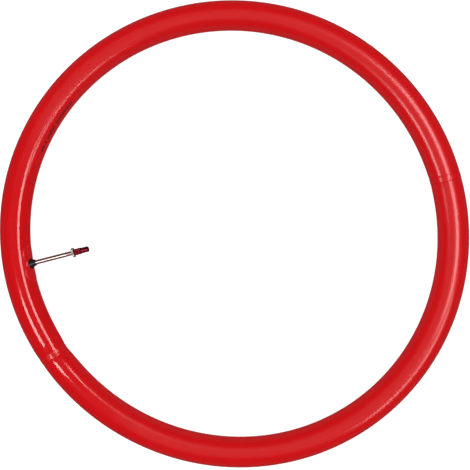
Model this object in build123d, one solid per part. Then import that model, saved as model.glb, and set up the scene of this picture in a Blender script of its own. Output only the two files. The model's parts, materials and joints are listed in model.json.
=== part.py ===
from build123d import *
import os
from math import cos, degrees, radians, sin

# A bicycle inner tube, blown up and lying flat, with a long Presta valve that points at the ring's centre.
# The origin is the ring's centre, +Z is the ring's axis and the valve is on the -X side. Millimetres.
# A section angle of 0 is the side of the tube that faces the ring's centre, and 90 is its top.
# Valve heights are counted along the valve's axis, from the tube's outer surface.

# Tube: two lengths of hollow rubber tube, cured end to end, with a thin band over each joint
ring_radius = 291.0
tube_diameter = 39.0
tube_wall = 0.7
right_splice_angle = 6.4
left_splice_angle = 205.4
band_width = 8.5
band_thickness = 0.4
band_proud = 0.15

# Where the valve stands on the tube, and how it leans
valve_angle = 180.0
valve_section_angle = 15.0
valve_lean = 6.0
valve_rise = 5.0

# Patch: an oval of rubber under the valve, with a raised rim round the valve's root
patch_length = 50.0
patch_width = 25.0
patch_thickness = 0.6
patch_rim_width = 1.0
patch_rim_height = 0.6
air_hole_diameter = 3.0

# Root: a rubber cone moulded round the foot of the stem
root_base_diameter = 13.5
root_skirt_height = 0.8
root_height = 6.4
root_lip = 0.9

# Stem: nickel-plated brass, smooth for most of its length and threaded at its end
stem_diameter = 6.0
stem_neck_step = 0.3
stem_top = 62.0
stem_thread_length = 13.0
stem_thread_undersize = 0.1
stem_thread_depth = 0.35
stem_thread_pitch = 0.794
stem_end_wall = 0.45
stem_foot_diameter = 8.6
stem_foot_height = 1.8
stem_foot_thickness = 1.2
stem_air_bore = 2.6

# Lock ring: a thin knurled nut on the stem's thread
lock_ring_diameter = 12.4
lock_ring_thickness = 3.1
lock_ring_depth = 1.7
lock_ring_notches = 36

# Core: the removable middle of the valve, sealed by a gasket on a step in the stem's bore
gasket_seat_depth = 13.0
gasket_thickness = 1.2
core_tube_diameter = 3.0
core_tube_depth = 24.0
core_engaged_length = 4.8
core_neck_diameter = 5.2
core_neck_height = 7.35
core_neck_thread_depth = 0.3
core_neck_pitch = 1.058
core_flats_width = 4.4
core_flats_height = 3.0
core_tube_play = 0.25

# Pin: the rod that opens and shuts the valve, its rubber seal and the nut that holds it shut
pin_diameter = 1.2
pin_thread_diameter = 1.9
pin_thread_depth = 0.15
pin_thread_pitch = 0.4
pin_thread_length = 10.0
pin_travel = 2.0
pin_tip_diameter = 2.3
pin_tip_length = 0.8
pin_head_diameter = 2.2
pin_head_thickness = 0.8
seal_diameter = 2.8
seal_thickness = 1.7
nut_diameter = 3.3
nut_height = 3.2
nut_notches = 16

# Cap: red anodised aluminium, with a knurled grip and a narrower nose
cap_wall = 1.1
cap_gap = 0.2
cap_grip_length = 9.6
cap_grip_notches = 24
cap_nose_diameter = 7.4
cap_end_wall = 1.2
cap_end_radius = 1.6
cap_tip_room = 0.8
cap_skirt_overlap = 0.8

# Clearances
seat_clearance = 0.02
running_clearance = 0.05
cap_skirt_clearance = 0.2
nut_room = 0.45
notch_radius = 0.35
chamfer_size = 0.3

# Worked out from the sizes above
tube_radius = tube_diameter / 2
stem_radius = stem_diameter / 2
stem_neck_radius = stem_radius + stem_neck_step
stem_crest_radius = stem_radius - stem_thread_undersize / 2
stem_thread_start = stem_top - stem_thread_length
lock_ring_top = stem_top - lock_ring_depth
gasket_seat_height = stem_top - gasket_seat_depth
core_bottom = stem_top - core_tube_depth
core_bore_radius = stem_crest_radius - stem_thread_depth - stem_end_wall
core_thread_radius = core_bore_radius - running_clearance
core_tube_radius = core_tube_diameter / 2
core_neck_radius = core_neck_diameter / 2
core_neck_bottom = stem_top + running_clearance
core_top = core_neck_bottom + core_neck_height
core_shoulder_height = gasket_seat_height + gasket_thickness + 2 * seat_clearance
pin_radius = pin_diameter / 2
pin_thread_radius = pin_thread_diameter / 2
seal_top = core_bottom - seat_clearance
seal_bottom = seal_top - seal_thickness
nut_bottom = core_top + seat_clearance
nut_top = nut_bottom + nut_height
pin_top = nut_top + pin_thread_length - nut_height - pin_travel + pin_tip_length
cap_base = lock_ring_top + cap_gap
cap_skirt_top = stem_top + cap_skirt_overlap
cap_skirt_radius = stem_crest_radius + cap_skirt_clearance
cap_grip_radius = cap_skirt_radius + cap_wall
cap_thread_bore_top = core_top + nut_room
cap_cavity_top = pin_top + cap_tip_room
cap_top = cap_cavity_top + cap_end_wall


def inner_side_plane():
    """The tube's surface at the valve: origin on the surface, Z straight out of it, X along the tube."""
    angle = radians(valve_angle)
    roll = radians(valve_section_angle)
    inward = Vector(-cos(angle), -sin(angle), 0)
    outward = inward * cos(roll) + Vector(0, 0, 1) * sin(roll)
    centre = inward * -ring_radius
    along = Vector(-sin(angle), cos(angle), 0)
    return Plane(origin=centre + outward * tube_radius, x_dir=along, z_dir=outward)


def valve_plane():
    """The valve's own frame: origin on the tube's surface, Z along the valve's axis."""
    heading = radians(valve_angle + 180 + valve_lean)
    rise = radians(valve_rise)
    axis = Vector(cos(heading) * cos(rise), sin(heading) * cos(rise), sin(rise))
    side = Vector(-sin(heading), cos(heading), 0)
    return Plane(origin=inner_side_plane().origin, x_dir=side, z_dir=axis)


def turned(points):
    """A solid turned about Z from a closed outline of (radius, height) points."""
    outline = Polyline(*[(radius, 0, height) for radius, height in points], close=True)
    return revolve(make_face(outline), Axis.Z)


def threaded_rod(crest_radius, depth, pitch, bottom, top):
    """A rod whose thread is drawn as even ring grooves between bottom and top."""
    turns = int((top - bottom) / pitch)
    start = top - turns * pitch
    points = [(0, bottom), (crest_radius, bottom)]
    for turn in range(turns):
        height = start + turn * pitch
        points += [
            (crest_radius, height + 0.2 * pitch),
            (crest_radius - depth, height + 0.5 * pitch),
            (crest_radius - depth, height + 0.6 * pitch),
            (crest_radius, height + 0.9 * pitch),
        ]
    points += [(crest_radius, top), (0, top)]
    return turned(points)


def rod(radius, bottom, top):
    """A plain round rod between two heights."""
    return Pos(0, 0, bottom) * extrude(Circle(radius), top - bottom)


def notches(radius, count, bottom, top):
    """Small round grooves that run up a knurled edge."""
    groove = extrude(Circle(notch_radius), top - bottom)
    places = PolarLocations(radius + notch_radius / 3, count)
    return [Pos(0, 0, bottom) * place * groove for place in places]


def ring_sector(outer_radius, inner_radius, start_angle, end_angle):
    """A stretch of hollow tube bent round the ring's axis."""
    section = Plane.XZ * Pos(ring_radius, 0) * (Circle(outer_radius) - Circle(inner_radius))
    sector = revolve(section, Axis.Z, end_angle - start_angle)
    return Rot(0, 0, start_angle) * sector


def tube_skin(bottom, top):
    """A closed hollow ring between two heights over the tube's surface."""
    outside = Torus(ring_radius, tube_radius + top)
    return outside - Torus(ring_radius, tube_radius + bottom)


def make_band(splice_angle):
    """The band cured over the joint between the two lengths of tube."""
    half_angle = degrees(band_width / 2 / ring_radius)
    outer_radius = tube_radius + band_proud
    return ring_sector(
        outer_radius,
        outer_radius - band_thickness,
        splice_angle - half_angle,
        splice_angle + half_angle,
    )


def make_tube_length(start_angle, end_angle, bands):
    """One length of tube, stepped down at its ends for the bands."""
    length = ring_sector(tube_radius, tube_radius - tube_wall, start_angle, end_angle)
    for band in bands:
        length -= band
    return length


def air_hole():
    """The hole from the tube's inside up to the stem's bore."""
    depth = tube_wall + patch_thickness + stem_foot_height
    return valve_plane() * rod(air_hole_diameter / 2, -2 * depth, stem_foot_height)


def root_cone():
    """The root's outer shape, run down into the tube."""
    skirt_depth = patch_thickness + root_base_diameter / 2
    top_radius = stem_neck_radius + root_lip
    waist_radius = (root_base_diameter / 2 + top_radius) / 2 - chamfer_size
    return valve_plane() * turned(
        [
            (0, -skirt_depth),
            (root_base_diameter / 2, -skirt_depth),
            (root_base_diameter / 2, root_skirt_height),
            (waist_radius, (root_skirt_height + root_height) / 2),
            (top_radius, root_height - chamfer_size),
            (top_radius - chamfer_size, root_height),
            (0, root_height),
        ]
    )


def make_root():
    """The rubber cone, cut to the patch below it and to the stem's foot and neck inside it."""
    under = Torus(ring_radius, tube_radius + patch_thickness)
    foot_top = stem_foot_height + stem_foot_thickness
    foot = rod(stem_foot_diameter / 2, stem_foot_height, foot_top)
    neck = rod(stem_neck_radius, stem_foot_height, root_height + chamfer_size)
    return root_cone() - under - valve_plane() * foot - valve_plane() * neck - air_hole()


def make_patch():
    """The oval patch, with its raised rim close round the root."""
    side = inner_side_plane()
    reach = patch_width / 2
    oval = side * Pos(0, 0, -reach) * extrude(SlotOverall(patch_length, patch_width), 2 * reach)
    rim_radius = root_base_diameter / 2 + patch_rim_width
    rim = side * rod(rim_radius, -reach, reach)
    sheet = tube_skin(0, patch_thickness) & oval
    raised = tube_skin(patch_thickness, patch_thickness + patch_rim_height) & rim
    above_sheet = root_cone() - Torus(ring_radius, tube_radius + patch_thickness)
    return sheet + (raised - above_sheet) - air_hole()


def make_stem():
    """The stem: its foot and neck in the rubber, smooth shaft, threaded end and stepped bore."""
    foot_top = stem_foot_height + stem_foot_thickness
    foot = rod(stem_foot_diameter / 2, stem_foot_height, foot_top)
    neck = rod(stem_neck_radius, stem_foot_height, root_height)
    shaft = rod(stem_radius, stem_foot_height, stem_thread_start)
    end = threaded_rod(
        stem_crest_radius, stem_thread_depth, stem_thread_pitch, stem_thread_start, stem_top
    )
    air_bore_top = seal_bottom - pin_head_thickness - 2 * pin_travel
    air_bore = rod(stem_air_bore / 2, stem_foot_height, air_bore_top)
    core_bore = rod(core_tube_radius + core_tube_play, air_bore_top, gasket_seat_height)
    thread_bore = rod(core_bore_radius, gasket_seat_height, stem_top)
    return foot + neck + shaft + end - air_bore - core_bore - thread_bore


def make_lock_ring():
    """The thin nut that holds the stem to the rim."""
    bottom = lock_ring_top - lock_ring_thickness
    radius = lock_ring_diameter / 2
    bore_radius = stem_radius + running_clearance
    body = turned(
        [
            (bore_radius, bottom),
            (radius - chamfer_size, bottom),
            (radius, bottom + chamfer_size),
            (radius, lock_ring_top - chamfer_size),
            (radius - chamfer_size, lock_ring_top),
            (bore_radius, lock_ring_top),
        ]
    )
    return body - notches(radius, lock_ring_notches, bottom, lock_ring_top)


def make_gasket():
    """The core's sealing ring, which comes out with the core."""
    bottom = gasket_seat_height + seat_clearance
    top = bottom + gasket_thickness
    outer = rod(core_thread_radius - running_clearance, bottom, top)
    return outer - rod(core_tube_radius + running_clearance, bottom, top)


def make_core_body():
    """The core: a thin tube, a thread in the stem, and a neck with wrench flats for the cap's thread."""
    thin_tube = rod(core_tube_radius, core_bottom, core_shoulder_height)
    shank = rod(core_thread_radius, core_shoulder_height, stem_top - core_engaged_length)
    thread = threaded_rod(
        core_thread_radius,
        stem_thread_depth / 2,
        stem_thread_pitch,
        stem_top - core_engaged_length,
        core_neck_bottom,
    )
    flats_top = core_neck_bottom + core_flats_height
    flats = Pos(0, 0, core_neck_bottom) * extrude(
        Circle(core_neck_radius) & Rectangle(core_flats_width, core_neck_diameter),
        core_flats_height,
    )
    neck = threaded_rod(
        core_neck_radius, core_neck_thread_depth, core_neck_pitch, flats_top, core_top
    )
    pin_bore = rod(pin_radius + running_clearance, core_bottom, core_top)
    room_bottom = core_top - 2 * pin_travel
    pin_room = rod(pin_thread_radius + 2 * running_clearance, room_bottom, core_top)
    return thin_tube + shank + thread + flats + neck - pin_bore - pin_room


def make_pin():
    """The pin: a thin rod with a head below and a threaded, flared tip above."""
    thread_bottom = core_top - pin_travel + running_clearance
    thread_top = pin_top - pin_tip_length
    head = rod(pin_head_diameter / 2, seal_bottom - pin_head_thickness, seal_bottom)
    shaft = rod(pin_radius, seal_bottom, thread_bottom)
    thread = threaded_rod(
        pin_thread_radius, pin_thread_depth, pin_thread_pitch, thread_bottom, thread_top
    )
    tip = turned(
        [
            (0, thread_top),
            (pin_thread_radius, thread_top),
            (pin_tip_diameter / 2, thread_top + chamfer_size),
            (pin_tip_diameter / 2, pin_top - chamfer_size),
            (pin_tip_diameter / 2 - chamfer_size, pin_top),
            (0, pin_top),
        ]
    )
    return head + shaft + thread + tip


def make_pin_seal():
    """The rubber seal on the pin, which shuts the core's lower end."""
    return rod(seal_diameter / 2, seal_bottom, seal_top) - rod(pin_radius, seal_bottom, seal_top)


def make_nut():
    """The knurled nut on the pin's thread."""
    radius = nut_diameter / 2
    bore_radius = pin_thread_radius + running_clearance
    body = turned(
        [
            (bore_radius, nut_bottom),
            (radius, nut_bottom),
            (radius, nut_top - chamfer_size),
            (radius - chamfer_size, nut_top),
            (bore_radius, nut_top),
        ]
    )
    grip_top = nut_top - 2 * chamfer_size
    return body - notches(radius + notch_radius / 3, nut_notches, nut_bottom, grip_top)


def make_cap():
    """The cap: a skirt over the stem's end, a thread for the core's neck and a closed nose."""
    grip_top = cap_base + cap_grip_length
    nose_radius = cap_nose_diameter / 2
    outside = turned(
        [
            (0, cap_base),
            (cap_grip_radius - chamfer_size, cap_base),
            (cap_grip_radius, cap_base + chamfer_size),
            (cap_grip_radius, grip_top - 2 * chamfer_size),
            (nose_radius, grip_top),
            (nose_radius, cap_top),
            (0, cap_top),
        ]
    )
    outside = fillet(outside.edges().sort_by(Axis.Z)[-1], cap_end_radius)
    skirt = rod(cap_skirt_radius, cap_base, cap_skirt_top)
    thread_bore = rod(core_neck_radius + running_clearance, cap_skirt_top, cap_thread_bore_top)
    cavity = rod(nut_diameter / 2 + nut_room, cap_thread_bore_top, cap_cavity_top)
    knurl_bottom = cap_base + 3 * chamfer_size
    knurl_top = grip_top - 4 * chamfer_size
    knurl = notches(cap_grip_radius, cap_grip_notches, knurl_bottom, knurl_top)
    return outside - skirt - thread_bore - cavity - knurl


def make_nodes():
    """Every piece, by its node's name."""
    right_band = make_band(right_splice_angle)
    left_band = make_band(left_splice_angle)
    bands = [right_band, left_band]
    valve = valve_plane()
    return {
        "tube_long_length": make_tube_length(right_splice_angle, left_splice_angle, bands)
        - air_hole(),
        "tube_short_length": make_tube_length(left_splice_angle, right_splice_angle + 360, bands),
        "splice_band_left": left_band,
        "splice_band_right": right_band,
        "valve_patch": make_patch(),
        "valve_root": make_root(),
        "valve_stem": valve * make_stem(),
        "lock_ring": valve * make_lock_ring(),
        "core_gasket": valve * make_gasket(),
        "core_body": valve * make_core_body(),
        "core_pin": valve * make_pin(),
        "pin_seal": valve * make_pin_seal(),
        "tip_nut": valve * make_nut(),
        "valve_cap": valve * make_cap(),
    }


os.makedirs("parts", exist_ok=True)
for name, piece in make_nodes().items():
    export_step(piece, f"parts/{name}.step")
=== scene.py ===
import json
import math
import bmesh
import bpy
import numpy as np
from mathutils import Matrix, Vector


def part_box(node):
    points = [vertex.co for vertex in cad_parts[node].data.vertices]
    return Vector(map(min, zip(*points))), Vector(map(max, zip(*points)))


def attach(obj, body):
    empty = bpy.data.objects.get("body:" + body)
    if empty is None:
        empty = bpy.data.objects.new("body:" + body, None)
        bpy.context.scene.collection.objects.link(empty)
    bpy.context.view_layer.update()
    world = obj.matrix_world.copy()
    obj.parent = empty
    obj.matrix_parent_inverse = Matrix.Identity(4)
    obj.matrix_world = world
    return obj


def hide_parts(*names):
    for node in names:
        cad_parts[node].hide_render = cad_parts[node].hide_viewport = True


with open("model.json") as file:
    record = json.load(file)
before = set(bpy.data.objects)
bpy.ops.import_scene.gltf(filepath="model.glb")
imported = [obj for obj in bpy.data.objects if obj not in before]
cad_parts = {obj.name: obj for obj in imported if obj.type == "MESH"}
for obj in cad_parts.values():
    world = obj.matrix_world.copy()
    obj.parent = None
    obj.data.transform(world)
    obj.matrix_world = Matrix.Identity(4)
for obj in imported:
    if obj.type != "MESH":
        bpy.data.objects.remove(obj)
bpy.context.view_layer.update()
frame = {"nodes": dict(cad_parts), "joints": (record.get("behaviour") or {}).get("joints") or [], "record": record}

# An inflated bicycle inner tube on a pale floor. Metres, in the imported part's own frame.
# theta runs round the ring. phi runs round the tube: 0 faces the ring's centre and a quarter turn
# is its top. Valve heights run along the valve's axis from the tube's surface.
MM = 0.001
TURN = 2 * math.pi
TINY = 1e-6
FINE = 0.1 * MM               # a small broken edge or gap


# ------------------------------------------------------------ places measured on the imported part
def points_of(node):
    mesh = frame["nodes"][node].data
    found = np.zeros(len(mesh.vertices) * 3, np.float32)
    mesh.vertices.foreach_get("co", found)
    return found.reshape(-1, 3).astype(float)


def angle_span(node):
    """The lowest and highest theta of a node that doesn't reach round the ring."""
    found = points_of(node)
    middle = math.atan2(found[:, 1].mean(), found[:, 0].mean())
    away = np.angle(np.exp(1j * (np.arctan2(found[:, 1], found[:, 0]) - middle)))
    return middle + away.min(), middle + away.max()


skins = np.vstack([points_of("tube_long_length"), points_of("tube_short_length")])
reaches = np.hypot(skins[:, 0], skins[:, 1])
TUBE_RADIUS = (reaches.max() - reaches.min()) / 2
RING_RADIUS = (reaches.max() + reaches.min()) / 2
RIGHT_BAND = angle_span("splice_band_right")
LEFT_BAND = tuple(angle + TURN for angle in angle_span("splice_band_left"))
RIGHT_SPLICE = sum(RIGHT_BAND) / 2
LEFT_SPLICE = sum(LEFT_BAND) / 2
BAND_HALF = (LEFT_BAND[1] - LEFT_BAND[0]) / 2 * RING_RADIUS

joints = {joint["name"]: joint for joint in frame["joints"]}
stem_mount = next(m for m in frame["record"]["mounts"] if m["name"] == "stem_shaft")
AXIS = np.array(joints["cap_off"]["axis"], float)
AXIS /= np.linalg.norm(AXIS)
shaft_middle = np.array(stem_mount["pos_m"], float)
shaft_length = stem_mount["dims"]["length_mm"] * MM
STEM_RADIUS = stem_mount["dims"]["r_mm"] * MM


def distance_off_tube(point):
    """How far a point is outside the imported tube's surface. It is below 0 inside."""
    return math.hypot(math.hypot(point[0], point[1]) - RING_RADIUS, point[2]) - TUBE_RADIUS


BISECTIONS = 50


def root_distance():
    """How far back along the axis from the middle of the shaft the tube's surface is."""
    near, far = 0.0, shaft_length
    for _ in range(BISECTIONS):
        middle = (near + far) / 2
        if distance_off_tube(shaft_middle - AXIS * middle) > 0:
            near = middle
        else:
            far = middle
    return near


ROOT = shaft_middle - AXIS * root_distance()
VALVE_THETA = math.atan2(ROOT[1], ROOT[0]) % TURN
VALVE_PHI = math.atan2(ROOT[2], RING_RADIUS - math.hypot(ROOT[0], ROOT[1]))
SIDE = np.cross([0, 0, 1], AXIS)
SIDE /= np.linalg.norm(SIDE)
UP = np.cross(AXIS, SIDE)


def heights(node):
    """The lowest and highest point of a valve piece along the axis."""
    found = (points_of(node) - ROOT) @ AXIS
    return found.min(), found.max()


def widest(node, low=-1.0, high=1.0):
    """How far a valve piece reaches from the axis, between two heights."""
    found = points_of(node) - ROOT
    along = found @ AXIS
    found = found[(along >= low) & (along <= high)]
    along = found @ AXIS
    return np.linalg.norm(found - along[:, None] * AXIS, axis=1).max()


# ---------------------------------------------------------------- the blown-up tube's real shape
OVAL = 2.88 * MM              # the ring is a little long one way
OVAL_THETA = math.radians(132.2)
LOBES = 0.55 * MM             # with a trace of three sides
LOBES_THETA = math.radians(50.6)
SPREAD = 0.0195               # the section is pressed a little wider than it is tall
SWELL = 0.0216                # and it is wider still on one side
SWELL_THETA = math.radians(-30)
PINCH = 0.0156
PINCH_THETA = math.radians(20.6)
WAIST_LENGTH = 9 * MM
LEFT_WAIST = 1.0 * MM
RIGHT_WAIST = 0.3 * MM
WALL = 0.7 * MM
STEP = 0.3 * MM               # the skins are stepped down under the bands
STEP_SLOPE = 0.3 * MM
SEAM = 0.5 * MM
BAND_PROUD = 0.25 * MM
PUCKER = 0.07 * MM
PUCKER_REACH = 7 * MM
PUCKER_WAVES = 14
RIGHT_PUCKER_SHARE = 0.4
# each is (height, waves round the tube, waves round the ring, phase)
SLOW_WAVES = ((0.02 * MM, 3, 5, 0), (0.01 * MM, 2, -11, 1))


def smooth(x):
    x = np.clip(x, 0, 1)
    return x * x * (3 - 2 * x)


def arc_from(theta, splice):
    """The distance along the ring from a splice."""
    return np.angle(np.exp(1j * (theta - splice))) * RING_RADIUS


def waist(theta):
    left = LEFT_WAIST / (1 + (arc_from(theta, LEFT_SPLICE) / WAIST_LENGTH) ** 2)
    right = RIGHT_WAIST / (1 + (arc_from(theta, RIGHT_SPLICE) / WAIST_LENGTH) ** 2)
    return left + right


def half_width(theta):
    swell = SWELL * np.cos(theta - SWELL_THETA) + PINCH * np.cos(2 * (theta - PINCH_THETA))
    return TUBE_RADIUS * (1 + SPREAD + swell) - waist(theta)


def half_height(theta):
    return TUBE_RADIUS - waist(theta)


def centre_radius(theta):
    oval = OVAL * np.cos(2 * (theta - OVAL_THETA))
    lobes = LOBES * np.cos(3 * (theta - LOBES_THETA))
    return RING_RADIUS + oval + lobes + waist(theta)


def ripple(theta, phi):
    """Puckers beside the splices and the slow unevenness of blown-up rubber."""
    left = np.exp(-(np.abs(arc_from(theta, LEFT_SPLICE)) / PUCKER_REACH) ** 2)
    right = np.exp(-(np.abs(arc_from(theta, RIGHT_SPLICE)) / PUCKER_REACH) ** 2)
    bunched = 2 * np.sin(3 * phi)
    puckers = PUCKER * (left + RIGHT_PUCKER_SHARE * right) * np.cos(PUCKER_WAVES * phi + bunched)
    slow = sum(
        height * np.sin(round_tube * phi + round_ring * theta + phase)
        for height, round_tube, round_ring, phase in SLOW_WAVES
    )
    return puckers + slow


def tube_point(theta, phi, lift=0.0):
    """Points on the tube's surface, or lifted off it. The tube rests on the floor all round."""
    theta, phi, lift = np.broadcast_arrays(theta, phi, lift)
    more = ripple(theta, phi) + lift
    out = centre_radius(theta) - (half_width(theta) + more) * np.cos(phi)
    up = half_height(theta) - TUBE_RADIUS + (half_height(theta) + more) * np.sin(phi)
    return np.stack([out * np.cos(theta), out * np.sin(theta), up], axis=-1)


# ---------------------------------------------------------------- meshes
MERGE_DISTANCE = 1e-7
FLAT_DISTANCE = 1e-8


def make_piece(name, verts, faces, sharp=None):
    mesh = bpy.data.meshes.new(name)
    mesh.from_pydata(np.asarray(verts, float).reshape(-1, 3).tolist(), [], faces)
    work = bmesh.new()
    work.from_mesh(mesh)
    bmesh.ops.remove_doubles(work, verts=work.verts, dist=MERGE_DISTANCE)
    bmesh.ops.dissolve_degenerate(work, edges=work.edges, dist=FLAT_DISTANCE)
    bmesh.ops.recalc_face_normals(work, faces=work.faces)
    work.to_mesh(mesh)
    work.free()
    mesh.shade_smooth()
    if sharp:
        mesh.set_sharp_from_angle(angle=math.radians(sharp))
    piece = bpy.data.objects.new(name, mesh)
    bpy.context.scene.collection.objects.link(piece)
    return piece


def grid_faces(rows, columns, first=0, closed_rows=False, closed_columns=True):
    """Quads over a grid of points. Columns run round, and rows can too."""
    faces = []
    for row in range(rows if closed_rows else rows - 1):
        here = first + row * columns
        there = first + (row + 1) % rows * columns
        for column in range(columns if closed_columns else columns - 1):
            after = (column + 1) % columns
            faces.append((here + column, here + after, there + after, there + column))
    return faces


ROWS_UNDER_BAND = [0.02, 1.5, 3.0, 3.9]                  # mm from the tube length's end
ROWS_AT_SEAM = [4.1 + 0.1 * step for step in range(12)]
FIRST_ROW_GAP = 0.3
ROW_GAP_GROWTH = 1.12
WIDEST_ROW_GAP = 3.6


def tube_rows(start, end):
    """Thetas of a tube length's rows, close together at its ends where the bands and seams are."""
    near = ROWS_UNDER_BAND + ROWS_AT_SEAM
    distance, gap = near[-1], FIRST_ROW_GAP
    while gap < WIDEST_ROW_GAP:
        distance += gap
        near.append(distance)
        gap *= ROW_GAP_GROWTH
    near = np.array(near) * MM / RING_RADIUS
    count = round((end - start - 2 * near[-1]) * RING_RADIUS / (WIDEST_ROW_GAP * MM))
    middle = np.linspace(start + near[-1], end - near[-1], count + 1)[1:-1]
    return np.concatenate([start + near, middle, end - near[::-1]])


def skin_lift(theta):
    """The step under the bands, with a narrow seam left open beside them."""
    nearest = np.minimum(
        np.abs(arc_from(theta, LEFT_SPLICE)), np.abs(arc_from(theta, RIGHT_SPLICE))
    )
    return -STEP * smooth((BAND_HALF + SEAM - nearest) / STEP_SLOPE)


SECTION_STEPS = 96


def make_tube_length(name, start, end):
    thetas = tube_rows(start, end)[:, None]
    phis = np.arange(SECTION_STEPS)[None, :] * TURN / SECTION_STEPS
    outside = tube_point(thetas, phis, skin_lift(thetas))
    inside = tube_point(thetas, phis, -WALL)
    rows = len(thetas)
    loop = np.concatenate([outside, inside[::-1]])
    return make_piece(name, loop, grid_faces(2 * rows, SECTION_STEPS, closed_rows=True))


BAND_ROWS = np.array([-1, -0.97, -0.93, -0.88, -0.8, -0.4, 0, 0.4, 0.8, 0.88, 0.93, 0.97, 1])
BAND_SQUARENESS = 9
BAND_SUNK = 0.02 * MM


def make_band(name, splice, waver):
    """A thin band cured over a splice, with rounded edges that wander a little."""
    phis = np.arange(SECTION_STEPS)[None, :] * TURN / SECTION_STEPS
    long_waves, short_waves = np.sin(3 * phis + 1), 0.6 * np.sin(7 * phis)
    edge = BAND_HALF * (1 + waver * (long_waves + short_waves))
    crown = np.sqrt(np.clip(1 - np.abs(BAND_ROWS) ** BAND_SQUARENESS, 0, 1))
    lift = (-STEP + (STEP + BAND_PROUD) * crown)[:, None]
    thetas = splice + BAND_ROWS[:, None] * edge / RING_RADIUS
    top = tube_point(thetas, phis, lift)
    bottom = tube_point(thetas, phis, -STEP - BAND_SUNK)
    loop = np.concatenate([top, bottom[::-1]])
    faces = grid_faces(2 * len(BAND_ROWS), SECTION_STEPS, closed_rows=True)
    return make_piece(name, loop, faces, sharp=50)


# ---------------------------------------------------------------- the valve's patch and root
patch_low, patch_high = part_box("valve_patch")
PATCH_HALF_LENGTH = (patch_high.y - patch_low.y) / 2
PATCH_HALF_WIDTH = PATCH_HALF_LENGTH / 2
PATCH_THICKNESS = 0.45 * MM
PATCH_FEATHER = 9.0 * MM       # along its sides
PATCH_END_FEATHER = 1.2 * MM
PATCH_LIFT = 0.03 * MM
PATCH_SUNK = 0.15 * MM
PATCH_COLUMNS = 120
PATCH_INNER_ROWS = [0.001, 3.0, 6.0] + [6.4 + 0.2 * step for step in range(14)]   # mm out
PATCH_OUTER_ROWS = (0.12, 0.25, 0.4, 0.55, 0.7, 0.8, 0.88, 0.94, 0.98, 1.0)       # shares
root_low, root_high = heights("valve_root")
ROOT_RADIUS = widest("valve_root")
BEAD_RADIUS = ROOT_RADIUS + 0.65 * MM
BEAD_HEIGHT = 0.7 * MM
BEAD_WIDTH = 0.6 * MM


def patch_point(along, across, lift):
    """A point on or over the surface by the valve: along the ring and round the tube."""
    radius = half_width(VALVE_THETA)
    phi = VALVE_PHI + np.arcsin(across / radius)
    reach = centre_radius(VALVE_THETA) - radius * np.cos(phi)
    return tube_point(VALVE_THETA - along / reach, phi, lift)


def make_patch():
    """An oval sheet with feathered edges and a raised bead round the root."""
    angles = np.arange(PATCH_COLUMNS) * TURN / PATCH_COLUMNS
    straight = PATCH_HALF_LENGTH - PATCH_HALF_WIDTH
    cos, sin = np.cos(angles), np.sin(angles)
    # the distance out to the edge of a long shape with round ends, in each direction
    flat = PATCH_HALF_WIDTH / np.maximum(np.abs(sin), TINY)
    under = np.clip(PATCH_HALF_WIDTH ** 2 - (straight * sin) ** 2, 0, None)
    round_end = straight * np.abs(cos) + np.sqrt(under)
    edge = np.where(flat * np.abs(cos) <= straight, flat, round_end)
    inner = PATCH_INNER_ROWS[-1] * MM
    feather = PATCH_END_FEATHER + (PATCH_FEATHER - PATCH_END_FEATHER) * sin ** 2
    rows = [(np.full(PATCH_COLUMNS, out * MM), 1.0) for out in PATCH_INNER_ROWS]
    for share in PATCH_OUTER_ROWS:
        reach = inner + (edge - inner) * share
        rows.append((reach, smooth((edge - reach) / feather)))
    top, bottom = [], []
    for reach, rise in rows:
        bead = BEAD_HEIGHT * np.exp(-((reach - BEAD_RADIUS) / BEAD_WIDTH) ** 2)
        lift = PATCH_THICKNESS * rise + bead + PATCH_LIFT
        top.append(patch_point(reach * cos, reach * sin, lift))
        bottom.append(patch_point(reach * cos, reach * sin, -PATCH_SUNK))
    loop = np.array(top + bottom[::-1])
    faces = grid_faces(len(loop), PATCH_COLUMNS)
    last = range((len(loop) - 1) * PATCH_COLUMNS, len(loop) * PATCH_COLUMNS)
    faces += [tuple(range(PATCH_COLUMNS)), tuple(reversed(last))]
    return make_piece("valve_patch_rubber", loop, faces, sharp=60)


def axis_point(radius, angle, height):
    """A point by its distance from the valve's axis, its angle round it and its height."""
    radius, angle, height = np.broadcast_arrays(radius, angle, height)
    side = (radius * np.cos(angle))[..., None] * SIDE
    up = (radius * np.sin(angle))[..., None] * UP
    return ROOT + height[..., None] * AXIS + side + up


SEARCH_BELOW, SEARCH_ABOVE = -8 * MM, 6 * MM


def surface_height(radius, angle):
    """The height at which a line beside the axis meets the shown tube."""
    low, high = SEARCH_BELOW, SEARCH_ABOVE
    for _ in range(BISECTIONS):
        middle = (low + high) / 2
        point = axis_point(radius, angle, middle)
        theta = np.arctan2(point[1], point[0])
        out = (math.hypot(point[0], point[1]) - centre_radius(theta)) / half_width(theta)
        up = (point[2] + TUBE_RADIUS) / half_height(theta) - 1
        if math.hypot(out, up) > 1:
            high = middle
        else:
            low = middle
    return high


ROOT_COLUMNS = 64
ROOT_SUNK = 0.5 * MM
ROOT_COLLAR = 0.3 * MM
CONE_HOLLOW = 1.7              # over 1 draws the cone's side inward
LIP_WALL = 0.25 * MM
LIP_HEIGHT = 0.7 * MM


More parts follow.
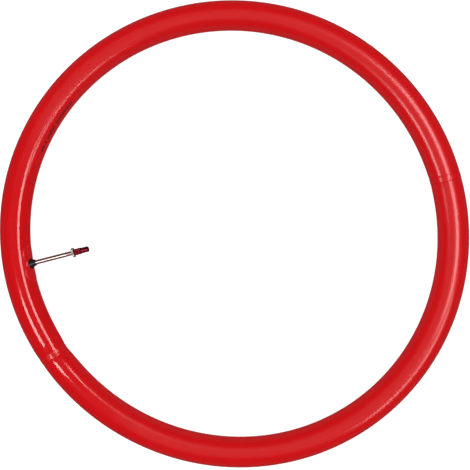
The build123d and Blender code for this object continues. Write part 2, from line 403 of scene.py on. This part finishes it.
def make_root():
    """The moulded rubber cone from the patch up to its lip round the stem."""
    angles = np.arange(ROOT_COLUMNS) * TURN / ROOT_COLUMNS
    foot = np.array([surface_height(ROOT_RADIUS, angle) for angle in angles])
    collar = foot + PATCH_THICKNESS + ROOT_COLLAR
    lip = widest("valve_root", root_high - FINE)
    bore = STEM_RADIUS - 2 * FINE
    rows = [(ROOT_RADIUS, foot - ROOT_SUNK), (ROOT_RADIUS, collar)]
    for share in np.linspace(0.06, 1, 14):
        hollow = (1 - share) ** CONE_HOLLOW
        reach = lip + LIP_WALL + (ROOT_RADIUS - lip - LIP_WALL) * hollow
        rows.append((reach, collar * (1 - share) + (root_high - LIP_HEIGHT) * share))
    rows += [(lip + 0.3 * MM, root_high - 0.45 * MM), (lip + 0.15 * MM, root_high - 0.15 * MM)]
    rows += [(lip - FINE, root_high), (bore, root_high - 0.02 * MM), (bore, root_low)]
    points = [axis_point(reach, angles, height) for reach, height in rows]
    faces = grid_faces(len(rows), ROOT_COLUMNS, closed_rows=True)
    return make_piece("valve_root_rubber", points, faces, sharp=55)


# ---------------------------------------------------------------- turned metal pieces
GROOVE_STEEPNESS = 2.4


def thread(start, end, pitch, depth, fade):
    """How deep a right-handed thread is cut at a height and an angle."""
    def cut(height, angle):
        turn = (height / pitch - angle / TURN) % 1.0
        groove = smooth(1 - np.abs(turn - 0.5) * GROOVE_STEEPNESS)
        ends = smooth((height - start) / fade) * smooth((end - height) / fade)
        return depth * groove * ends
    return cut


def knurl(start, end, count, depth, fade, twist=0.0):
    """How deep rounded flutes are cut at a height and an angle."""
    def cut(height, angle):
        wave = 0.5 + 0.5 * np.cos(count * (angle + twist * (height - start)))
        ends = smooth((height - start) / fade) * smooth((end - height) / fade)
        return depth * wave ** 2 * ends
    return cut


def turned(name, outline, columns, cuts=(), closed=True, flats=None, sharp=35):
    """A piece turned about the valve's axis from (radius, height) points, with cuts made in it.
    Each cut works on radii over its own limit, so that a bore inside stays plain."""
    angles = np.arange(columns)[None, :] * TURN / columns
    outline = np.array(outline, float)
    radius = np.repeat(outline[:, :1], columns, axis=1)
    height = np.repeat(outline[:, 1:], columns, axis=1)
    plain = radius.copy()
    for cut, over in cuts:
        radius = radius - np.where(plain > over, cut(height, angles), 0.0)
    if flats:
        half_across, low, high, over = flats
        reach = half_across / np.maximum(np.abs(np.cos(angles)), TINY)
        cut_here = (height > low) & (height < high) & (plain > over)
        radius = np.where(cut_here, np.minimum(radius, reach), radius)
    points = axis_point(radius, angles, height)
    faces = grid_faces(len(outline), columns, closed_rows=closed)
    return make_piece(name, points, faces, sharp=sharp)


def steps(radius, low, high, gap):
    """Points straight up or down a wall, close enough for what is cut in it."""
    count = max(1, int(abs(high - low) / gap))
    return [(radius, height) for height in np.linspace(low, high, count + 1)]


def corner(radius, height, size, up):
    """Three points of a small rounded outer edge, with up as +1 at the top and -1 at the bottom."""
    middle = 0.3 * size
    return [
        (radius, height - up * size),
        (radius - middle, height - up * middle),
        (radius - size, height),
    ]


stem_low, stem_high = heights("valve_stem")
THREAD_START = (shaft_middle - ROOT) @ AXIS + shaft_length / 2
CREST_RADIUS = STEM_RADIUS - 0.05 * MM
STEM_PITCH = 0.794 * MM
NECK_PITCH = 1.058 * MM
PIN_PITCH = 0.4 * MM


def make_stem():
    seat_low, _ = heights("core_gasket")
    bottom = stem_low + 0.5 * MM
    bore = widest("core_gasket") + 0.07 * MM
    air_hole, core_room = 1.3 * MM, 1.75 * MM
    room_bottom = heights("core_pin")[0] - 4.0 * MM
    rim = 0.08 * MM
    outline = steps(STEM_RADIUS, bottom, THREAD_START, 1 * MM)
    outline += steps(CREST_RADIUS, THREAD_START + 0.15 * MM, stem_high - 0.4 * MM, 0.08 * MM)
    outline += [(CREST_RADIUS - 0.25 * MM, stem_high - rim), (CREST_RADIUS - 0.35 * MM, stem_high)]
    outline += [(bore + rim, stem_high), (bore, stem_high - rim), (bore, seat_low)]
    outline += [(core_room, seat_low), (core_room, room_bottom)]
    outline += [(air_hole, room_bottom), (air_hole, bottom)]
    cut = thread(THREAD_START, stem_high, STEM_PITCH, depth=0.33 * MM, fade=0.6 * MM)
    return turned("valve_stem_metal", outline, 64, cuts=[(cut, bore + 0.3 * MM)])


def make_lock_ring():
    low, high = heights("lock_ring")
    radius, bore = widest("lock_ring"), STEM_RADIUS + 0.05 * MM
    edge, rounding, rim_wall = 0.15 * MM, 0.35 * MM, 0.9 * MM
    outline = [(bore, high - edge), (bore, low + edge), (bore + edge, low)]
    outline += corner(radius, low, rounding, -1)[::-1]
    outline += steps(radius, low + 0.5 * MM, high - 0.5 * MM, 0.3 * MM)
    outline += corner(radius, high, rounding, 1)
    outline += [(radius - rim_wall, high), (radius - rim_wall - 2 * edge, high - edge)]
    outline += [(bore + 4 * edge, high - edge), (bore + edge, high)]
    cut = knurl(low - 0.2 * MM, high + 0.2 * MM, count=36, depth=0.3 * MM, fade=0.35 * MM)
    return turned("lock_ring_metal", outline, 288, cuts=[(cut, radius - 0.5 * MM)])


CAP_TWIST = math.radians(2.2) / MM    # the flutes wind a little round the cap
CAP_GRIP = 9.6 * MM
CAP_NOSE_RADIUS = 3.7 * MM
CAP_DOME = 1.8 * MM
CAP_FLUTES = 24


def make_cap():
    low, high = heights("valve_cap")
    grip = widest("valve_cap")
    nose, waist_radius = CAP_NOSE_RADIUS, CAP_NOSE_RADIUS - 0.12 * MM
    grip_top = low + CAP_GRIP
    skirt = CREST_RADIUS + 0.2 * MM
    neck_bore = widest("core_body") + 0.05 * MM
    skirt_top = stem_high + 0.8 * MM
    bore_top = heights("core_body")[1] + 0.45 * MM
    cavity_top = heights("core_pin")[1] + 0.8 * MM
    cavity = widest("tip_nut") + 0.45 * MM
    outline = [(skirt + FINE, low), (grip - 0.3 * MM, low), (grip - 0.08 * MM, low + FINE)]
    outline += steps(grip, low + 0.35 * MM, grip_top - 0.9 * MM, 0.2 * MM)
    outline += [(grip - 0.06 * MM, grip_top - 0.7 * MM), (nose + FINE, grip_top - 0.15 * MM)]
    outline += [(waist_radius, grip_top), (waist_radius, grip_top + 0.3 * MM)]
    outline += [(nose, grip_top + 0.45 * MM), (nose, high - CAP_DOME)]
    for share in np.linspace(0.1, 1, 10):
        turn = share * math.pi / 2
        inward, down = CAP_DOME * (1 - math.cos(turn)), CAP_DOME * (1 - math.sin(turn))
        outline.append((nose - inward, high - down))
    outline += [(0, high), (0, cavity_top)]
    outline += [(cavity, cavity_top), (cavity, bore_top), (neck_bore, bore_top)]
    outline += steps(neck_bore, bore_top - 0.05 * MM, skirt_top + 0.05 * MM, 0.12 * MM)
    outline += [(neck_bore, skirt_top), (skirt, skirt_top), (skirt, low + FINE)]
    flutes = knurl(
        low + 0.3 * MM, grip_top - 0.5 * MM, CAP_FLUTES,
        depth=0.32 * MM, fade=0.6 * MM, twist=CAP_TWIST,
    )
    return turned("valve_cap_metal", outline, 240, cuts=[(flutes, grip - 0.15 * MM)])


def make_core():
    low, high = heights("core_body")
    neck = widest("core_body")
    tube = 1.5 * MM
    shank = widest("core_gasket") - 0.02 * MM
    gasket_high = heights("core_gasket")[1]
    thread_low = stem_high - 4.8 * MM
    flats_high = stem_high + 3.05 * MM
    bore = 0.65 * MM
    room, room_low = 1.05 * MM, high - 4 * MM
    outline = [(bore, room_low), (bore, low), (tube - FINE, low), (tube, low + FINE)]
    outline += [(tube, gasket_high + 0.02 * MM), (shank, gasket_high + 0.02 * MM)]
    outline += steps(shank, gasket_high + FINE, stem_high + 0.04 * MM, 0.08 * MM)
    outline += [(neck - FINE, stem_high + 0.05 * MM), (neck, stem_high + 0.15 * MM)]
    outline += steps(neck, stem_high + 0.3 * MM, high - 0.35 * MM, FINE)
    outline += [(neck - 0.3 * MM, high), (room, high), (room, room_low)]
    inner_thread = thread(thread_low, stem_high, STEM_PITCH, depth=0.17 * MM, fade=0.3 * MM)
    outer_thread = thread(flats_high, high, NECK_PITCH, depth=0.3 * MM, fade=0.4 * MM)
    flats = (2.2 * MM, stem_high + 0.04 * MM, flats_high, 2.15 * MM)
    cuts = [(inner_thread, shank - 0.05 * MM), (outer_thread, shank + 0.2 * MM)]
    return turned("core_body_metal", outline, 64, cuts=cuts, flats=flats)


def make_pin():
    low, high = heights("core_pin")
    rod, screw, tip, head = 0.6 * MM, 0.95 * MM, 1.15 * MM, 1.1 * MM
    seal_low = heights("pin_seal")[0]
    screw_low = heights("core_body")[1] - 1.95 * MM
    tip_low = high - 0.8 * MM
    outline = [(0, low), (head - FINE, low), (head, low + FINE)]
    outline += [(head, seal_low - FINE), (head - FINE, seal_low), (rod, seal_low)]
    outline += [(rod, screw_low), (screw - FINE, screw_low)]
    outline += steps(screw, screw_low + FINE, tip_low - FINE, 0.05 * MM)
    outline += [(tip - FINE, tip_low), (tip, tip_low + 0.15 * MM)]
    outline += [(tip, high - 0.25 * MM), (tip - 0.12 * MM, high - 0.07 * MM)]
    outline += [(tip - 0.35 * MM, high), (0, high)]
    cut = thread(screw_low, tip_low, PIN_PITCH, depth=0.14 * MM, fade=0.2 * MM)
    return turned("core_pin_metal", outline, 48, cuts=[(cut, 0.9 * MM)], closed=False)


def make_nut():
    low, high = heights("tip_nut")
    radius = widest("tip_nut")
    bore = 1.0 * MM
    outline = [(bore, high - FINE), (bore, low + FINE), (bore + FINE, low)]
    outline += [(radius - FINE, low)]
    outline += steps(radius, low + FINE, high - 0.6 * MM, 0.2 * MM)
    outline += [(radius - 0.08 * MM, high - 0.4 * MM), (radius - 0.3 * MM, high - 0.05 * MM)]
    outline += [(radius - 0.4 * MM, high), (bore + FINE, high)]
    cut = knurl(low - FINE, high - 0.5 * MM, count=16, depth=0.2 * MM, fade=0.2 * MM)
    return turned("tip_nut_metal", outline, 128, cuts=[(cut, radius - 0.2 * MM)])


# ---------------------------------------------------------------- plain printed ticks
TICK_START = math.radians(148.3)
TICK_GAP = math.radians(0.62)
TICK_PHI = math.radians(28)
TICK_HEIGHT = 4.6 * MM
TICK_PROUD, TICK_SUNK = 0.04 * MM, 0.02 * MM
TICK_GROUPS = ((3, 1.9), (1, 1.9), (7, 1.7), (12, 1.6))   # how many, and their width in mm


def make_ticks():
    """Plain bars printed on the tube in groups, thin and closed, following the surface."""
    verts, faces = [], []
    theta = TICK_START
    tall = TICK_HEIGHT / TUBE_RADIUS
    for count, width in TICK_GROUPS:
        for _ in range(count):
            half = width * MM / 2 / RING_RADIUS
            thetas = theta + np.array([-half, -half / 3, half / 3, half])[:, None]
            phis = TICK_PHI + np.linspace(-tall / 2, tall / 2, 7)[None, :]
            top = tube_point(thetas, phis, TICK_PROUD)
            bottom = tube_point(thetas, phis, -TICK_SUNK)
            first = sum(len(block) for block in verts)
            rows, columns = thetas.shape[0], phis.shape[1]
            size = rows * columns
            verts += [top.reshape(-1, 3), bottom.reshape(-1, 3)]
            faces += grid_faces(rows, columns, first, closed_columns=False)
            faces += grid_faces(rows, columns, first + size, closed_columns=False)
            rim = list(range(columns)) + [r * columns + columns - 1 for r in range(1, rows)]
            rim += list(range(size - 2, size - columns - 1, -1))
            rim += [r * columns for r in range(rows - 2, 0, -1)]
            under = first + size
            for here, after in zip(rim, rim[1:] + rim[:1]):
                faces.append((first + here, first + after, under + after, under + here))
            theta -= TICK_GAP
        theta -= TICK_GAP
    return make_piece("printed_ticks", np.concatenate(verts), faces)


# ---------------------------------------------------------------- materials
class Shader:
    """A Principled material and short ways to wire nodes to it."""

    def __init__(self, name, colour, roughness, metallic=0.0, specular=0.5):
        self.material = bpy.data.materials.new(name)
        self.material.use_nodes = True
        self.tree = self.material.node_tree
        self.main = self.tree.nodes["Principled BSDF"]
        self.main.inputs["Base Color"].default_value = (*colour, 1)
        self.main.inputs["Roughness"].default_value = roughness
        self.main.inputs["Metallic"].default_value = metallic
        self.main.inputs["Specular IOR Level"].default_value = specular
        self.place = self.node("ShaderNodeTexCoord").outputs["Object"]

    def node(self, kind, links=(), **values):
        made = self.tree.nodes.new(kind)
        for key, value in values.items():
            if hasattr(made, key):
                setattr(made, key, value)
            else:
                made.inputs[key.replace("_", " ")].default_value = value
        for socket, source in links:
            self.tree.links.new(source, made.inputs[socket])
        return made

    def noise(self, scale, detail=3.0, stretch=None):
        source = self.place
        if stretch:
            source = self.node(
                "ShaderNodeMapping", [("Vector", self.place)], Scale=stretch
            ).outputs["Vector"]
        return self.node(
            "ShaderNodeTexNoise", [("Vector", source)], Scale=scale, Detail=detail
        ).outputs["Fac"]

    def spread(self, source, low, high, to_low, to_high):
        made = self.node("ShaderNodeMapRange", [("Value", source)])
        for socket, value in zip(
            ("From Min", "From Max", "To Min", "To Max"), (low, high, to_low, to_high)
        ):
            made.inputs[socket].default_value = value
        return made.outputs["Result"]

    def math(self, operation, a, b):
        made = self.node("ShaderNodeMath", operation=operation)
        for socket, value in enumerate((a, b)):
            if isinstance(value, (int, float)):
                made.inputs[socket].default_value = value
            else:
                self.tree.links.new(value, made.inputs[socket])
        return made.outputs[0]

    def tint(self, source, dark, light):
        """Base colour from one shade to another by a 0 to 1 value."""
        made = self.node("ShaderNodeMix", data_type="RGBA")
        self.tree.links.new(source, made.inputs[0])
        made.inputs[6].default_value = (*dark, 1)
        made.inputs[7].default_value = (*light, 1)
        self.tree.links.new(made.outputs[2], self.main.inputs["Base Color"])

    def bumps(self, *layers):
        """Stacks bumps of (height source, strength, distance)."""
        last = None
        for source, strength, distance in layers:
            links = [("Height", source)] + ([("Normal", last)] if last else [])
            made = self.node("ShaderNodeBump", links, Strength=strength, Distance=distance)
            last = made.outputs["Normal"]
        self.tree.links.new(last, self.main.inputs["Normal"])

    def rough(self, source):
        self.tree.links.new(source, self.main.inputs["Roughness"])

    def near_direction(self, theta, inner, outer):
        """1 on the part of the ring that lies toward theta, fading to 0 by the outer angle."""
        split = self.node("ShaderNodeVectorMath", [(0, self.place)], operation="DOT_PRODUCT")
        split.inputs[1].default_value = (math.cos(theta), math.sin(theta), 0)
        reach = split.outputs["Value"]
        made = self.node(
            "ShaderNodeMapRange", [("Value", reach)], interpolation_type="SMOOTHSTEP"
        )
        made.inputs["From Min"].default_value = RING_RADIUS * math.cos(outer)
        made.inputs["From Max"].default_value = RING_RADIUS * math.cos(inner)
        return made.outputs["Result"]


RED = (0.61, 0.0048, 0.0072)
INK = (0.06, 0.005, 0.006)
NOISE_LOW, NOISE_HIGH = 0.3, 0.7      # where most of a noise's values lie
ZONE_GLOSS = 0.12                     # roughness taken off in the smoother zones


def shade(colour, amount):
    return tuple(amount * c for c in colour)


def red_rubber(name, zones=()):
    """Glossy rubber, smoother in each zone of (middle, inner half, outer half) in degrees."""
    look = Shader(name, RED, 0.22, specular=0.28)
    look.tint(look.noise(45, 4), shade(RED, 0.94), shade(RED, 1.04))
    gloss = look.spread(look.noise(160, 3), NOISE_LOW, NOISE_HIGH, 0.205, 0.235)
    for zone in zones:
        near = look.near_direction(*map(math.radians, zone))
        gloss = look.math("SUBTRACT", gloss, look.math("MULTIPLY", near, ZONE_GLOSS))
    look.rough(gloss)
    grain, unevenness = look.noise(1400, 2), look.noise(240, 3)
    look.bumps((grain, 0.06, 0.02 * MM), (unevenness, 0.03, 0.03 * MM))
    return look.material


def black_rubber(name, grey, roughness):
    colour = (grey,) * 3
    look = Shader(name, colour, roughness, specular=0.4)
    look.tint(look.noise(700, 3), shade(colour, 0.8), shade(colour, 1.25))
    smoother, rougher = roughness - 0.05, roughness + 0.06
    look.rough(look.spread(look.noise(900, 3), NOISE_LOW, NOISE_HIGH, smoother, rougher))
    look.bumps((look.noise(2600, 2), 0.3, 0.02 * MM))
    return look.material


def turned_metal(name, colour, roughness, lines):
    """Bright metal with fine turned lines round the valve's axis and faint handling marks."""
    look = Shader(name, colour, roughness, metallic=1.0)
    reach = look.node("ShaderNodeVectorMath", [(0, look.place)], operation="DOT_PRODUCT")
    reach.inputs[1].default_value = tuple(AXIS)
    waves = look.node("ShaderNodeTexNoise", noise_dimensions="1D")
    look.tree.links.new(look.math("MULTIPLY", reach.outputs["Value"], lines), waves.inputs["W"])
    waves.inputs["Scale"].default_value = 1.0
    waves.inputs["Detail"].default_value = 3.0
    look.tint(look.noise(500, 4), shade(colour, 0.9), colour)
    smoother, rougher = roughness - 0.03, roughness + 0.06
    look.rough(look.spread(look.noise(800, 4), 0.35, NOISE_HIGH, smoother, rougher))
    turning, marks = waves.outputs["Fac"], look.noise(1500, 2)
    look.bumps((turning, 0.15, 0.01 * MM), (marks, 0.05, 0.01 * MM))
    return look.material


# ---------------------------------------------------------------- the object
left = math.degrees(LEFT_SPLICE)
long_look = red_rubber("red_rubber_long", [(left - 18.7, 20, 50)])
short_look = red_rubber("red_rubber_short", [(left + 8, 12, 26)])
band_look = red_rubber("red_rubber_band")
patch_look = red_rubber("red_rubber_patch")
root_look = black_rubber("black_rubber_root", 0.009, 0.25)
ink = Shader("ink_ticks", INK, 0.45, specular=0.2)
ink.tint(ink.noise(900, 3), shade(INK, 0.8), shade(INK, 1.3))
seal_look = black_rubber("seal_rubber_rings", 0.03, 0.55)
nickel = turned_metal("nickel_bright", (0.80, 0.74, 0.68), 0.13, 9000)
ring_nickel = turned_metal("nickel_ring", (0.86, 0.83, 0.78), 0.28, 7000)
core_nickel = turned_metal("nickel_core", (0.72, 0.70, 0.66), 0.2, 9000)
brass = turned_metal("brass_pin", (0.72, 0.55, 0.28), 0.2, 9000)
anodised = turned_metal("anodised_red", (0.36, 0.016, 0.035), 0.2, 8000)

long_skin = make_tube_length("tube_long_skin", RIGHT_SPLICE, LEFT_SPLICE)
short_skin = make_tube_length("tube_short_skin", LEFT_SPLICE, RIGHT_SPLICE + TURN)
left_band = make_band("splice_left_rubber", LEFT_SPLICE, waver=0.03)
right_band = make_band("splice_right_rubber", RIGHT_SPLICE, waver=0.015)
MADE = [
    (long_skin, "tube", "tube_long_length", "red_rubber", long_look),
    (short_skin, "tube", "tube_short_length", "red_rubber", short_look),
    (left_band, "tube", "splice_band_left", "red_rubber", band_look),
    (right_band, "tube", "splice_band_right", "red_rubber", band_look),
    (make_patch(), "tube", "valve_patch", "red_rubber", patch_look),
    (make_root(), "tube", "valve_root", "black_rubber", root_look),
    (make_stem(), "tube", "valve_stem", "nickel_stem", nickel),
    (make_lock_ring(), "lock_ring", "lock_ring", "nickel_ring", ring_nickel),
    (make_core(), "core", "core_body", "nickel_core", core_nickel),
    (make_pin(), "pin", "core_pin", "brass_pin", brass),
    (make_nut(), "nut", "tip_nut", "nickel_core", core_nickel),
    (make_cap(), "cap", "valve_cap", "red_anodised", anodised),
]
for piece, body, node, slot, look in MADE:
    piece.data.materials.append(look)
    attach(piece, body)
    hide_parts(node)

ticks = make_ticks()
ticks.data.materials.append(ink.material)
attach(ticks, "tube")

for node in ("core_gasket", "pin_seal"):
    for slot in frame["nodes"][node].material_slots:
        slot.material = seal_look

# ---------------------------------------------------------------- floor, lights and camera
VIEW_ROLL = math.radians(-8.35)
RIGHTWARD = Vector((math.cos(VIEW_ROLL), math.sin(VIEW_ROLL), 0))
UPWARD = Vector((-math.sin(VIEW_ROLL), math.cos(VIEW_ROLL), 0))


def studio_point(right_by, up_by, height):
    return RIGHTWARD * right_by + UPWARD * up_by + Vector((0, 0, height))


def ringward(bearing, distance, height):
    """A point by its bearing from the ring's centre, counted from the view's right."""
    turn = math.radians(bearing)
    return studio_point(distance * math.cos(turn), distance * math.sin(turn), height)


FLOOR_HALF = 40.0              # far enough out that no view shows its edge
FLOOR_LEVEL = -TUBE_RADIUS - 0.4 * MM
FLOOR_GLOW = 0.9
floor_mesh = bpy.data.meshes.new("floor")
sides = ((-1, -1), (1, -1), (1, 1), (-1, 1))
corners = [(x * FLOOR_HALF, y * FLOOR_HALF, FLOOR_LEVEL) for x, y in sides]
floor_mesh.from_pydata(corners, [], [(0, 1, 2, 3)])
floor = bpy.data.objects.new("floor", floor_mesh)
bpy.context.scene.collection.objects.link(floor)
floor_look = Shader("floor_paper", (0.3, 0.3, 0.3), 0.9, specular=0.0)
floor_look.tint(floor_look.noise(6, 2), (0.295,) * 3, (0.305,) * 3)
floor_look.main.inputs["Emission Color"].default_value = (1, 1, 1, 1)
floor_look.main.inputs["Emission Strength"].default_value = FLOOR_GLOW
floor_mesh.materials.append(floor_look.material)
floor.visible_glossy = False


def softbox(name, place, toward, along, width, length, radiance, glossy=True, diffuse=True):
    """A rectangular light with its long side along the given direction."""
    lamp = bpy.data.lights.new(name, "AREA")
    lamp.shape = "RECTANGLE"
    lamp.size, lamp.size_y = width, length
    lamp.energy = radiance * math.pi * width * length
    made = bpy.data.objects.new(name, lamp)
    bpy.context.scene.collection.objects.link(made)
    aim = (Vector(place) - Vector(toward)).normalized()
    along = (along - aim * along.dot(aim)).normalized()
    turn = Matrix((along.cross(aim), along, aim)).transposed().to_4x4()
    turn.translation = place
    made.matrix_world = turn
    made.visible_camera = False
    made.visible_glossy = glossy
    made.visible_diffuse = diffuse
    return made


def strip(name, bearing, distance, height, width, length, radiance):
    """A strip light that lies across its bearing and is seen only as a reflection."""
    along = ringward(bearing + 90, 1, 0)
    place = ringward(bearing, distance, height)
    lamp = softbox(name, place, (0, 0, 0), along, width, length, radiance, diffuse=False)
    lamp.light_linking.receiver_collection = red_pieces


softbox(
    "overhead_fill", studio_point(0, 0, 2.4), (0, 0, 0), UPWARD,
    width=3.4, length=3.4, radiance=2.55, glossy=False,
)
red_pieces = bpy.data.collections.new("red_pieces")
valve_pieces = bpy.data.collections.new("valve_pieces")
for piece, _, _, slot, _ in MADE:
    group = red_pieces if slot == "red_rubber" else valve_pieces
    group.objects.link(piece)
red_pieces.objects.link(ticks)

strip("right_strip", 13, distance=0.585, height=1.1, width=0.38, length=0.72, radiance=12.5)
strip("low_right_strip", -36, distance=0.93, height=0.89, width=0.26, length=0.66, radiance=9.0)
strip("left_strip", 207.5, distance=0.52, height=0.78, width=0.24, length=0.2, radiance=18.0)

card = softbox(
    "valve_card", studio_point(-0.24, -0.42, 1.3), (-0.24, 0, 0), UPWARD,
    width=2.0, length=0.75, radiance=2.6, diffuse=False,
)
card.light_linking.receiver_collection = valve_pieces

WORLD_LIGHT = 0.08
world = bpy.data.worlds.new("studio")
world.use_nodes = True
sky = world.node_tree.nodes["Background"]
sky.inputs["Color"].default_value = (1, 1, 1, 1)
sky.inputs["Strength"].default_value = WORLD_LIGHT
bpy.context.scene.world = world

CAMERA_HEIGHT = 1.0
CAMERA_LENS = 57.53            # puts the ring at its size in the photo
CAMERA_RIGHT, CAMERA_UP = 0.5 * MM, -1.7 * MM
camera_data = bpy.data.cameras.new("camera")
camera_data.sensor_width = 36
camera_data.lens = CAMERA_LENS
camera = bpy.data.objects.new("camera", camera_data)
bpy.context.scene.collection.objects.link(camera)
turn = Matrix((RIGHTWARD, UPWARD, Vector((0, 0, 1)))).transposed().to_4x4()
turn.translation = studio_point(CAMERA_RIGHT, CAMERA_UP, CAMERA_HEIGHT)
camera.matrix_world = turn
bpy.context.scene.camera = camera
bpy.context.scene.view_settings.view_transform = "Standard"
